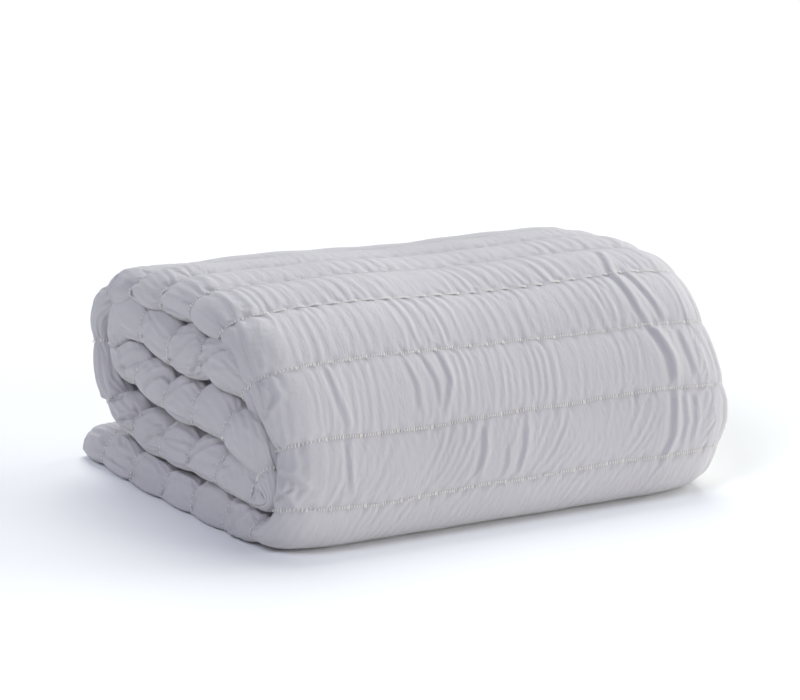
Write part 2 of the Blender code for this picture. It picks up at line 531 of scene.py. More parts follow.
@dataclass
class FoldedSheet:
    """The cloth's whole shape: the four-layer section carried along the winding line, with its quilting.

    Lengths are in metres. A ply is one layer of the padded cloth, and a band is the flat strip at a stitched line.
    """

    line: WindingLine = field(default_factory=WindingLine)
    right_edge: float = 0.304
    hem_inset: float = 0.004
    ply: float = 0.0078
    ply_share: float = 0.13
    ply_at_line: float = 0.0018
    ply_gap: float = 0.0006
    band: float = 0.0016
    edge_recede: float = 0.0008
    hem_recede: float = 0.0024
    hem_round: float = 0.0022
    hem_share: tuple[float, float] = (0.42, 0.58)
    hem_slope: tuple[float, float] = (0.004, 0.026)
    hem_seam: float = 0.0085
    hem_seam_width: float = 0.0018
    hem_seam_depth: float = 0.6
    leg_width: float = 0.57
    fold_reach: float = 0.065
    shoulder: float = 0.030
    shoulder_height: float = 0.35
    pull: tuple[float, float] = (0.6, 1.1)
    pull_range: tuple[float, float] = (0.25, 1.7)
    corner: tuple[float, float] = (0.17, 0.295)
    toe_place: float = 0.452
    toe_reach: float = 0.045
    toe_back: float = 0.014
    toe_rise: float = 0.007
    drawn_in_from: float = 0.20
    drawn_in_to: float = 0.30
    drawn_in_share: float = 0.035
    left_lift: float = 0.0075
    lift_across: tuple[float, float] = (0.06, -0.12)
    lift_above: tuple[float, float] = (0.11, 0.19)
    rim_from: float = -0.262
    rim_reach: float = 0.05
    rim_steepness: float = 0.8
    lead_across: tuple[float, float] = (0.05, -0.22)
    line_waves: tuple[tuple[float, float], ...] = ((1.3, 0.0012), (3.1, 0.0008), (7.3, 0.0004))
    span: float = 0.6
    cluster_pitch: float = 0.0209
    seed: int = 11

    @cached_property
    def bounds(self) -> np.ndarray:
        """Places of the outer hem, of every stitched line and of the inner hem, in metres along the line."""
        places = np.cumsum([s.spacing for s in STITCH_LINES]) * MM
        return np.concatenate([[0.0], places, [self.line.length]])

    @cached_property
    def leads(self) -> np.ndarray:
        """How far each bound lies ahead on the inner side of the strip, in metres."""
        return np.array([0.0, *(s.lead for s in STITCH_LINES), 0.0]) * MM

    @property
    def channels(self) -> int:
        """How many channels there are between the bounds."""
        return len(self.bounds) - 1

    @staticmethod
    def near_fold(x: np.ndarray, left: np.ndarray, reach: float) -> np.ndarray:
        """Tells how near the folded edges a place is.

        Args:
            x: X of the places.
            left: X of the folded edges.
            reach: how far from them their shape is felt.

        Returns:
            Shares, 1 at the folded edges and past them, and 0 out of reach.
        """
        return 1.0 - smooth(0.0, reach, x - left)

    def line_place(self, bound: int, q: np.ndarray, x: np.ndarray) -> np.ndarray:
        """Where a bound lies along the winding line.

        Args:
            bound: its number, 0 for the outer hem.
            q: the places around the section.
            x: the X of the same places, in metres.

        Returns:
            Lengths along the winding line, in metres.
        """
        inner = np.interp(q, [0, 1, 2, 4, 5, 6, 7], [-0.5, -0.5, 0.5, 0.4, 0.2, -0.2, -0.2])
        place = self.bounds[bound] + self.leads[bound] * inner * smooth(*self.lead_across, x)
        if 0 < bound < self.channels:
            rng = np.random.default_rng(self.seed * 1000 + bound)
            for waves, size in self.line_waves:
                place = place + size * np.sin(2 * math.pi * waves * x / self.span + rng.uniform(0, 6.28))
        return place

    def _sizes(self, state: LineState, loft: np.ndarray, along: np.ndarray) -> FoldSizes:
        """Finds what the section is built from.

        Args:
            state: the winding line at each place.
            loft: how full the channel is there, from 0 at a line to 1.
            along: the places' lengths along the winding line.

        Returns:
            The sizes.
        """
        full = np.minimum(self.ply / 2, state.thickness * self.ply_share)
        pitch = (state.thickness / 2 + self.ply_gap - full) / OUTER_PITCHES
        stretch = between(FOLDED_EDGES, "length", along)
        depth = OUTER_PITCHES * pitch * stretch
        left_nominal = state.left_edge + depth + full
        right_edge = self.right_edge - between(RIGHT_END, "back", along) * MM - self.hem_recede * (1.0 - loft) ** 2
        return FoldSizes(
            full=full,
            pitch=pitch,
            stretch=stretch,
            depth=depth,
            tip=between(FOLDED_EDGES, "tip", along),
            left_nominal=left_nominal,
            left=left_nominal + self.edge_recede * (1.0 - loft),
            right=right_edge - pitch / 2 - full,
            hem=right_edge - self.hem_inset,
            right_edge=right_edge,
        )

    @staticmethod
    def _folded(q: np.ndarray, sizes: FoldSizes) -> Section:
        """Lays the four layers evenly on each other.

        Args:
            q: places around the section.
            sizes: its sizes there.

        Returns:
            The section, with no thickness yet.
        """
        shape = np.broadcast_shapes(q.shape, sizes.left.shape)
        outer_flat, inner_flat = sizes.hem - sizes.left_nominal, sizes.right - sizes.left_nominal
        outer_turn = math.pi * 0.75 * (sizes.pitch * OUTER_PITCHES + sizes.depth) / OUTER_PITCHES
        small_turn = math.pi * 0.5 * sizes.pitch
        spans = (outer_flat, outer_turn, inner_flat, small_turn, inner_flat, small_turn, outer_flat)
        leg = np.clip(np.floor(q), 0, len(Leg) - 1).astype(int)
        leg, t = np.broadcast_to(leg, shape), np.broadcast_to(q - leg, shape)
        made = Section(*(np.zeros(shape) for _ in fields(Section)))
        start = np.zeros(shape)
        for kind, span in zip(Leg, spans):
            here = leg == kind.value
            span = np.broadcast_to(span, shape)

            def there(name: str) -> np.ndarray:
                """One of the sizes, at the places on this leg."""
                return np.broadcast_to(getattr(sizes, name), shape)[here]

            if kind in FLATS:
                flat = FLATS[kind]
                start_x, end_x = there(flat.start), there(flat.end)
                made.x[here] = start_x + (end_x - start_x) * t[here]
                made.height[here] = flat.height * there("pitch")
                made.face_h[here] = flat.face
            else:
                turn = TURNS[kind]
                stretch = 1.0 if kind is Leg.RIGHT_FOLD else there("stretch")
                angle = np.radians(turn.from_angle + (turn.to_angle - turn.from_angle) * t[here])
                made.x[here] = there(turn.centre) + turn.radius * there("pitch") * stretch * np.cos(angle)
                rise = np.sin(angle)
                if kind is Leg.OUTER_TURN:
                    rise = there("tip") + (1.0 - np.sign(rise) * there("tip")) * rise
                made.height[here] = turn.height * there("pitch") + turn.radius * there("pitch") * rise
                made.face_x[here] = turn.out * np.cos(angle)
                made.face_h[here] = turn.out * np.sin(angle)
            made.width[here] = start[here] + span[here] * t[here]
            start = start + span
        return made

    def section(self, q: np.ndarray, state: LineState, loft: np.ndarray, along: np.ndarray) -> Section:
        """The section with its quilting.

        Args:
            q: places around the section, from 0 to 7, one number for each leg.
            state: the winding line there.
            loft: how full the channel is there, from 0 at a line to 1.
            along: the same places' lengths along the winding line.

        Returns:
            The section.
        """
        sizes = self._sizes(state, loft, along)
        made = self._folded(q, sizes)
        near = self.near_fold(made.x, sizes.left_nominal, self.fold_reach)
        body = between(LOFTS, "pinch", along)
        upward = np.clip(self.pull[0] + self.pull[1] * made.face_h * np.cos(state.turn), *self.pull_range)
        pinch = body + (between(FOLDED_EDGES, "pinch", along) * upward - body) * near
        half_strip = np.maximum(OUTER_PITCHES * sizes.pitch, 1e-6)
        upper = np.clip(made.height / half_strip, 0.0, 1.0)
        lower = np.clip(-made.height / half_strip, 0.0, 1.0)
        grown = (between(FOLDED_EDGES, "outer", along) * upper - between(FOLDED_EDGES, "inner", along) * lower) * MM
        made.height = (made.height + grown * near) * (1.0 - pinch * self.seam_pull(along) * (1.0 - loft))
        past = np.clip(1.0 - (sizes.right_edge - made.x) / self.shoulder, 0.0, 1.0)
        rounded = np.sqrt(np.maximum(1.0 - past * past, 0.0))
        made.height = made.height * (self.shoulder_height + (1.0 - self.shoulder_height) * rounded)
        half = self.ply_at_line / 2 + (sizes.full - self.ply_at_line / 2) * loft
        made.half = half * self._hem_taper(made.width, q, along)
        return made

    def seam_pull(self, along: np.ndarray) -> np.ndarray:
        """How hard the nearest stitched line pulls, as a share around 1, since no two do it alike."""
        rng = np.random.default_rng(self.seed * 17)
        return np.interp(along, self.bounds, rng.uniform(0.65, 1.3, len(self.bounds)))

    def _hem_taper(self, width: np.ndarray, q: np.ndarray, along: np.ndarray) -> np.ndarray:
        """How much of its thickness the cloth keeps near its four hems.

        Args:
            width: the cut's width place, in metres.
            q: places around the section.
            along: lengths along the winding line.

        Returns:
            Shares from a thin rounded edge to 1, with the hem's own seam a little way in.
        """
        last = Leg.SECOND.value
        from_side = np.where(q < 1, width, np.where(q > last, (last + 1 - q) * self.leg_width, 1.0))
        from_end = np.minimum(along, self.line.length - along)
        near = np.minimum(from_side, np.maximum(from_end, 0.0))
        edge = np.sqrt(np.clip(1.0 - (1.0 - np.clip(near / self.hem_round, 0, 1)) ** 2, 0.02, 1))
        slope = self.hem_share[0] + self.hem_share[1] * smooth(*self.hem_slope, near)
        seam = 1.0 - self.hem_seam_depth * np.exp(-(((near - self.hem_seam) / self.hem_seam_width) ** 2))
        return edge * slope * seam

    def drawn_in(self, x: np.ndarray) -> np.ndarray:
        """The share of its size that the bundle keeps at X."""
        reach = np.maximum(0.0, np.abs(x) - self.drawn_in_from) / (self.drawn_in_to - self.drawn_in_from)
        return 1.0 - self.drawn_in_share * reach * reach

    def place(self, x: np.ndarray, height: np.ndarray, state: LineState, along: np.ndarray) -> np.ndarray:
        """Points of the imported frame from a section's x and height.

        Args:
            x: X in the table's frame.
            height: height over the winding line, outwards.
            state: the winding line there.
            along: lengths along the winding line.

        Returns:
            Points in metres, with what would be below the floor laid on it.
        """
        keep = self.drawn_in(x)
        reach = np.maximum(0.0, np.abs(x) - self.corner[0]) / (self.corner[1] - self.corner[0])
        toe = np.exp(-(((along - self.toe_place) / self.toe_reach) ** 2)) * reach * reach
        y = (state.y - np.sin(state.turn) * height) * keep + self.toe_back * toe
        z = (state.z + np.cos(state.turn) * height) * keep + self.toe_rise * toe
        z = z + self.left_lift * smooth(*self.lift_across, x) * smooth(*self.lift_above, z)
        shift_x, shift_y = TABLE_ORIGIN
        return np.stack([x + shift_x, y + shift_y, np.maximum(z, 0.0)], axis=-1)

    def fill(self, phase: np.ndarray, length: np.ndarray, along: np.ndarray, x: np.ndarray) -> np.ndarray:
        """How full a channel is across it.

        Args:
            phase: place across the channel from 0 to 1.
            length: the channel's length there, in metres.
            along: lengths along the winding line.
            x: X of the same places.

        Returns:
            Shares from 0 at its two lines to 1 in the middle.
        """
        inset = self.band / length
        inner = np.clip((phase - inset) / (1.0 - 2.0 * inset), 0.0, 1.0)
        near = self.near_fold(x, self.rim_from, self.rim_reach)
        body = between(LOFTS, "fullness", along)
        power = body + (between(FOLDED_EDGES, "fullness", along) - body) * near
        steep = between(LOFTS, "steepness", along)
        steep = steep + (self.rim_steepness - steep) * near
        return np.clip(1.0 - np.abs(2.0 * inner - 1.0) ** power, 0.0, 1.0) ** steep

    def grid(
        self, channel: int, phases: np.ndarray, q: np.ndarray, side: Side, relief: "Relief | None"
    ) -> tuple[np.ndarray, np.ndarray, np.ndarray]:
        """A patch of one side of the cloth in one channel.

        Args:
            channel: the channel's number.
            phases: rows, as places across the channel from 0 to 1.
            q: columns, as places around the section.
            side: the cloth's face or its back.
            relief: the gathers to add, or none.

        Returns:
            Points of shape (rows, columns, 3), and the cut's width and length places of the same rows and columns.
        """
        middle = 0.5 * (self.bounds[channel] + self.bounds[channel + 1])
        rough_state = self.line.at(np.full((1, 1), middle))
        rough = self.section(q[None, :], rough_state, np.ones((1, 1)), np.full((1, 1), middle)).x
        low = self.line_place(channel, q[None, :], rough)
        high = self.line_place(channel + 1, q[None, :], rough)
        along = low + (high - low) * phases[:, None]
        state = self.line.at(along)
        loft = self.fill(phases[:, None], high - low, along, rough)
        if relief is not None:
            loft = loft * relief.swelling(rough, channel, phases[:, None])
        parts = self.section(q[None, :], state, loft, along)
        offset = side.value * parts.half

        def raised(height: np.ndarray) -> np.ndarray:
            """The points at a height over the middle of the cloth."""
            return self.place(parts.x + parts.face_x * height, parts.height + parts.face_h * height, state, along)

        points = raised(offset)
        if relief is not None and side is Side.FACE:
            out = raised(offset + MM) - points
            points = relief.gathered(points, out, parts.x, parts.width, along, channel, q)
        return points, parts.width, along


class Way(Enum):
    """How a pair of neighbouring points lies in a patch."""

    ACROSS = "in a row"
    DOWN = "in a column"
    FALLING = "down and on"
    RISING = "up and on"


Where = tuple[slice, slice]


@dataclass(frozen=True)
class Gathering:
    """Lets a patch of cloth that is longer along its lines than the thread find its own folds.

    The cloth keeps the lengths of its threads, resists sharp bends and rests on the soft filling below it. What is
    too long buckles into small folds, which run from line to line.
    """

    passes: int = 260
    bending: float = 0.014
    slide: float = 0.02

    def settle(
        self,
        base: np.ndarray,
        out: np.ndarray,
        target: np.ndarray,
        start: np.ndarray,
        lean: np.ndarray,
        excess: np.ndarray,
        filling: np.ndarray,
        supple: np.ndarray,
        free: np.ndarray,
    ) -> np.ndarray:
        """Finds the folds of one patch.

        Args:
            base: points of the smooth patch, of shape (rows, columns, 3).
            out: the way out of the cloth at each point, which its first and last rows keep to.
            target: the height at which the filling would hold each point.
            start: the first small unevenness over it.
            lean: how far the folds go to the left for each step down, at each point.
            excess: the share of cloth that is too long, at each point.
            filling: how firmly the filling holds each point.
            supple: the share of the bending stiffness that is left at each point.
            free: how free each point is to move, from 0 to 1.

        Returns:
            The settled points.
        """
        normal = self._normals(base, out)
        size = np.sqrt(1.0 + lean**2)
        across, down = 1.0 / size, lean / size
        pairs = []
        for first, second, way in self._pairs():
            edge = np.linalg.norm(base[second] - base[first], axis=-1)
            if way is Way.ACROSS:
                turn = across[first]
            elif way is Way.DOWN:
                turn = down[first]
            else:
                wide = np.linalg.norm(self._step(base, 1)[first], axis=-1)
                tall = np.linalg.norm(self._step(base, 0)[first], axis=-1)
                sign = 1.0 if way is Way.FALLING else -1.0
                turn = (wide * across[first] + sign * tall * down[first]) / np.maximum(np.hypot(wide, tall), 1e-9)
            rest = edge * (1.0 + excess[first] * turn**2)
            weight = free[first] + free[second]
            give = np.where(weight > 0, 1.0 / np.maximum(weight, 1e-6), 0.0)
            pairs.append((first, second, rest, free[first] * give, free[second] * give))
        height = target + start * free
        points = base + normal * height[..., None]
        for _ in range(self.passes):
            for first, second, rest, one, other in pairs:
                edge = points[second] - points[first]
                length = np.sqrt(np.einsum("ijk,ijk->ij", edge, edge))
                pull = edge * ((length - rest) / np.maximum(length, 1e-9))[..., None]
                points[first] += pull * one[..., None]
                points[second] -= pull * other[..., None]
            moved = points - base
            height = np.einsum("ijk,ijk->ij", moved, normal)
            along = (moved - normal * height[..., None]) * (1.0 - self.slide)
            height = height - free * (self.bending * supple * self._bend(height) + filling * (height - target))
            points = base + along + normal * height[..., None]
        return points

    @staticmethod
    def _pairs() -> list[tuple[Where, Where, Way]]:
        """Pairs the neighbours in groups in which no point comes twice.

        Returns:
            For each group, where its first and its second points are, and how they lie.
        """
        every, but_last, but_first = slice(None), slice(None, -1), slice(1, None)
        found = []
        for k in (0, 1):
            these, those = slice(k, -1, 2), slice(k + 1, None, 2)
            found.append(((every, these), (every, those), Way.ACROSS))
            found.append(((these, every), (those, every), Way.DOWN))
            found.append(((these, but_last), (those, but_first), Way.FALLING))
            found.append(((these, but_first), (those, but_last), Way.RISING))
        return found

    @staticmethod
    def _step(base: np.ndarray, axis: int) -> np.ndarray:
        """Finds the way from each point to the next.

        Args:
            base: the points.
            axis: along which axis.

        Returns:
            The steps, with the last one twice to keep the shape.
        """
        step = np.diff(base, axis=axis)
        last = step[-1:] if axis == 0 else step[:, -1:]
        return np.concatenate([step, last], axis=axis)

    @staticmethod
    def _blur(height: np.ndarray) -> np.ndarray:
        """One pass of a short blur down the columns."""
        padded = np.pad(height, ((1, 1), (0, 0)), mode="edge")
        return (padded[:-2] + 2 * padded[1:-1] + padded[2:]) / 4

    def _bend(self, height: np.ndarray) -> np.ndarray:
        """Finds how strongly the cloth is bent across, with a light share down the columns.

        Args:
            height: the points' heights.

        Returns:
            How far each height is above what its neighbours ask for.
        """
        padded = np.pad(height, ((0, 0), (2, 2)), mode="edge")
        bent = padded[:, :-4] - 4 * padded[:, 1:-3] + 6 * padded[:, 2:-2] - 4 * padded[:, 3:-1] + padded[:, 4:]
        return bent + (height - self._blur(height)) * 0.5

    @staticmethod
    def _normals(base: np.ndarray, out: np.ndarray) -> np.ndarray:
        """Finds the way that each point may rise.

        Args:
            base: points of the smooth patch.
            out: the way out of the cloth at each point.

        Returns:
            Unit normals, which turn to the way out of the cloth at the first and last rows.
        """
        found = np.cross(np.gradient(base, axis=1), np.gradient(base, axis=0))
        found /= np.maximum(np.linalg.norm(found, axis=-1, keepdims=True), 1e-12)
        out = out / np.maximum(np.linalg.norm(out, axis=-1, keepdims=True), 1e-12)
        found = found * np.where((found * out).sum(-1, keepdims=True) < 0, -1.0, 1.0)
        row = np.arange(len(base))
        share = (smooth(0, 4, row) * smooth(0, 4, len(base) - 1 - row))[:, None, None]
        found = out + (found - out) * share
        return found / np.maximum(np.linalg.norm(found, axis=-1, keepdims=True), 1e-12)


@dataclass
class Relief:
    """The gathers, dimples and main creases of the cloth's outer face.

    The fine part is the seen part, from one place around the section to another. A rim is the cloth near the folded
    edges, where it is softer, fuller and more gathered.
    """

    sheet: FoldedSheet
    gathering: Gathering = field(default_factory=Gathering)
    seed: int = 5
    fine_from: float = 0.86
    fine_to: float = 2.11
    filling: float = 0.003
    middle_filling: float = 0.001
    rim_filling: float = 0.008
    rim_excess: float = 0.08
    waves: int = 16
    wave_lengths: tuple[float, float] = (0.005, 0.018)
    wave_height: float = 0.0006
    clusters_to: float = 1.22
    cluster_jitter: float = 0.0006
    widest_column: float = 0.0042
    hem_kept: float = 0.014
    lean_from: tuple[float, float] = (-0.24, -0.08)
    lean_least: float = 0.15
    rim_from: float = -0.255
    rim_reach: float = 0.03
    rim_supple: float = 0.45
    crease_kept: float = 0.35
    deep_lines: range = range(12, 18)
    deep_hollow: tuple[float, float] = (0.0038, 0.0042)
    shallow_hollow: tuple[float, float] = (0.0016, 0.0030)
    hollow_reach: float = 0.0046
    swells: tuple[tuple[float, float], ...] = ((1.7, 0.05), (4.3, 0.05), (9.1, 0.04))
    patches: tuple[tuple[float, float], ...] = ((2.3, 0.35), (5.1, 0.4), (11.7, 0.35))

    def swelling(self, x: np.ndarray, channel: int, phase: np.ndarray) -> np.ndarray:
        """Varies a channel's fullness along it.

        Args:
            x: X of the places.
            channel: the channel's number.
            phase: places across the channel, from 0 to 1.

        Returns:
            Shares around 1.
        """
        rng = np.random.default_rng(self.seed * 977 + channel)
        share = np.full(np.broadcast_shapes(x.shape, phase.shape), 1.0)
        for waves, size in self.swells:
            turn = 2 * math.pi * waves * x / self.sheet.span + rng.uniform(0, 6.28) + phase * 1.1
            share = share + size * np.sin(turn)
        return share

    def clusters(self, bound: int) -> np.ndarray:
        """Places the knotted stitches.

        Args:
            bound: the stitched line's number.

        Returns:
            Their width places, in metres.
        """
        rng = np.random.default_rng(self.seed * 31 + bound)
        pitch = self.sheet.cluster_pitch
        places = np.arange(rng.uniform(0.3, 0.9) * pitch, self.clusters_to, pitch)
        return places + rng.normal(0.0, self.cluster_jitter, len(places))

    def gathered(
        self,
        points: np.ndarray,
        out: np.ndarray,
        x: np.ndarray,
        width: np.ndarray,
        along: np.ndarray,
        channel: int,
        q: np.ndarray,
    ) -> np.ndarray:
        """The patch with its gathers, where it is fine enough to hold them.

        Args:
            points: the smooth patch.
            out: the way out of the cloth at every point.
            x: X of every point.
            width: the cut's width place of every point.
            along: the length along the winding line of every point.
            channel: the channel's number.
            q: the columns.

        Returns:
            The points with the seen ones settled.
        """
        spacing = np.gradient(width[0])
        past_hem = (q >= self.fine_from) | (width[0] > self.hem_kept)
        seen = (q <= self.fine_to) & (spacing < self.widest_column) & past_hem
        if not seen.any() or len(points) < 3:
            return points
        first = int(np.argmax(seen))
        columns = slice(first, int(np.flatnonzero(seen)[-1]) + 1)
        w, s, xx = width[:, columns], along[:, columns], x[:, columns]
        count = w.shape[1]
        number = np.arange(count)
        free = smooth(0, 6, number) * smooth(0, 6, count - 1 - number)
        free = np.broadcast_to(free, w.shape).copy()
        free[0] = free[-1] = 0.0
        target = self.dimples(w, s, channel) + self.main_creases(xx, s, q[columns])
        least = self.lean_least
        lean = between(LOFTS, "lean", s) * (least + (1.0 - least) * smooth(*self.lean_from, xx))
        rim = self.sheet.near_fold(xx, self.rim_from, self.rim_reach)
        excess = (between(LOFTS, "excess", s) * (1.0 - rim) + self.rim_excess * rim) * self.unevenness(w, s, channel)
        settled = points.copy()
        start = self.first_folds(w, s, channel, lean)
        phase = (s - s[:1]) / np.maximum(s[-1:] - s[:1], 1e-9)
        filling = self.filling + self.middle_filling * np.sin(math.pi * phase) ** 2
        filling = filling + (self.rim_filling - filling) * rim
        supple = 1.0 - self.rim_supple * rim
        settled[:, columns] = self.gathering.settle(
            points[:, columns], out[:, columns], target, start, lean, excess, filling, supple, free
        )
        way = out[:, columns] / np.maximum(np.linalg.norm(out[:, columns], axis=-1, keepdims=True), 1e-12)
        sharp = self.rim_creases(w, s, q[columns]) + self.crease_kept * self.main_creases(xx, s, q[columns])
        settled[:, columns] += way * (sharp * np.maximum(free, 0.5))[..., None]
        return settled

    @staticmethod
    def rim_creases(w: np.ndarray, s: np.ndarray, q: np.ndarray) -> np.ndarray:
        """The listed creases on the folded edges, as heights.

        Args:
            w: the cut's width place of every point.
            s: the length along the winding line of every point.
            q: the columns' places around the section.

        Returns:
            Heights, below zero in a crease and a little above it on either side.
        """
        total = np.zeros(w.shape)
        for crease in RIM_CREASES:
            places = [(float(np.interp(a, q, w[0])), b * MM) for a, b in crease.points]
            ends = [b for _, b in places]
            if q[0] > RIM_START or s.max() < min(ends) - CREASE_REACH or s.min() > max(ends) + CREASE_REACH:
                continue
            near = np.full(w.shape, 1.0)
            for (a0, b0), (a1, b1) in zip(places, places[1:]):
                size = max((a1 - a0) ** 2 + (b1 - b0) ** 2, 1e-12)
                t = np.clip(((w - a0) * (a1 - a0) + (s - b0) * (b1 - b0)) / size, 0.0, 1.0)
                near = np.minimum(near, np.hypot(w - a0 - t * (a1 - a0), s - b0 - t * (b1 - b0)))
            u = near / (crease.half_width * MM)
            total += crease.depth * MM * (crease.lip * np.exp(-(((u - 2.0) / 1.0) ** 2)) - np.exp(-(u**2)))
        return total

    def first_folds(self, w: np.ndarray, s: np.ndarray, channel: int, lean: np.ndarray) -> np.ndarray:
        """Makes the slight waves that grow into folds: uneven ones, that change on the way from line to line.

        Args:
            w: the cut's width place of every point.
            s: the length along the winding line of every point.
            channel: the channel's number.
            lean: how far the folds go to the left for each step down.

        Returns:
            Heights.
        """
        rng = np.random.default_rng(self.seed * 613 + channel)
        step = np.diff(s, axis=0, prepend=s[:1])
        place = w + np.cumsum(lean * step, axis=0)
        t = (s - s[:1]) / np.maximum(s[-1:] - s[:1], 1e-9)
        out = np.zeros(w.shape)
        for _ in range(self.waves):
            length = rng.uniform(*self.wave_lengths)
            turn = rng.uniform(0, 2 * math.pi)
            low, high = rng.normal(0, 1, 2)
            drift = rng.normal(0, 0.5)
            fade = low * (1.0 - t) + high * t + rng.normal(0, 0.7) * np.sin(math.pi * t)
            out += fade * np.sin(2 * math.pi * place / length + turn + drift * t)
        return out * self.wave_height / math.sqrt(self.waves)

    def unevenness(self, w: np.ndarray, s: np.ndarray, channel: int) -> np.ndarray:
        """Varies how much the cloth is gathered.

        Args:
            w: the cut's width place of every point.
            s: the length along the winding line of every point.
            channel: the channel's number.

        Returns:
            Shares around 1.
        """
        rng = np.random.default_rng(self.seed * 401 + channel)
        share = np.full(w.shape, 1.0)
        for waves, size in self.patches:
            turn = 2 * math.pi * waves * w / self.sheet.span + rng.uniform(0, 6.28)
            turn = turn + rng.uniform(-25, 25) * (s - s.min())
            share = share + size * np.sin(turn)
        return np.clip(share, 0.05, 2.4)

    def dimples(self, w: np.ndarray, s: np.ndarray, channel: int) -> np.ndarray:
        """Draws in the cloth at the knotted stitches, along both of a channel's lines.

        Args:
            w: the cut's width place of every point.
            s: the length along the winding line of every point.
            channel: the channel's number.

        Returns:
            Heights below zero.
        """
        out = np.zeros(w.shape)
        for end in (0, 1):
            gap = np.abs(s - s[-end][None, :])
            out += self.hollows(w[0], channel + end)[None, :] * np.exp(-((gap / self.hollow_reach) ** 2))
        return out

    def hollows(self, w: np.ndarray, bound: int) -> np.ndarray:
        """Finds how deep the knotted stitches draw in the cloth along a stitched line.

        Args:
            w: the cut's width places.
            bound: the line's number.

        Returns:
            Heights below zero.
        """
        out = np.zeros(w.shape)
        if 0 < bound < self.sheet.channels:
            deep, wide = self.deep_hollow if bound in self.deep_lines else self.shallow_hollow
            for cluster in self.clusters(bound):
                out -= deep * np.exp(-(((w - cluster + MM) / wide) ** 2))
        return out

    @staticmethod
    def main_creases(x: np.ndarray, s: np.ndarray, q: np.ndarray) -> np.ndarray:
        """The listed creases on the outer layer.

        Args:
            x: X of every point.
            s: the length along the winding line of every point.
            q: the columns' places around the section.

        Returns:
            Heights, below zero in a crease and above it on its lip.
        """
        total = np.zeros(x.shape)
        outer = (q <= OUTER_LAYER_END)[None, :]
        for crease in CREASES:
            places = sorted((b * MM, a * MM) for a, b in crease.points)
            low, high = places[0][0], places[-1][0]
            if s.max() < low - CREASE_REACH or s.min() > high + CREASE_REACH:
                continue
            centre = np.interp(s, [p[0] for p in places], [p[1] for p in places])
            fade = smooth(low - 0.006, low + 0.012, s) * (1.0 - smooth(high - 0.012, high + 0.006, s))
            u = (centre - x) / (crease.half_width * MM)
            shape = -np.exp(-(u**2)) + crease.lip * np.exp(-(((u + 1.6) / 1.2) ** 2))
            total += np.where(outer, crease.depth * MM * fade * shape, 0.0)
        return total


# ------------------------------------------------------------------ meshes


def deselect_everything() -> None:
    """Leaves nothing selected and nothing active."""
    for item in bpy.context.view_layer.objects:
        item.select_set(False)
    bpy.context.view_layer.objects.active = None


def linked(made: bpy.types.Object) -> bpy.types.Object:
    """Puts a new object in the scene and hands it back."""
    bpy.context.scene.collection.objects.link(made)
    return made


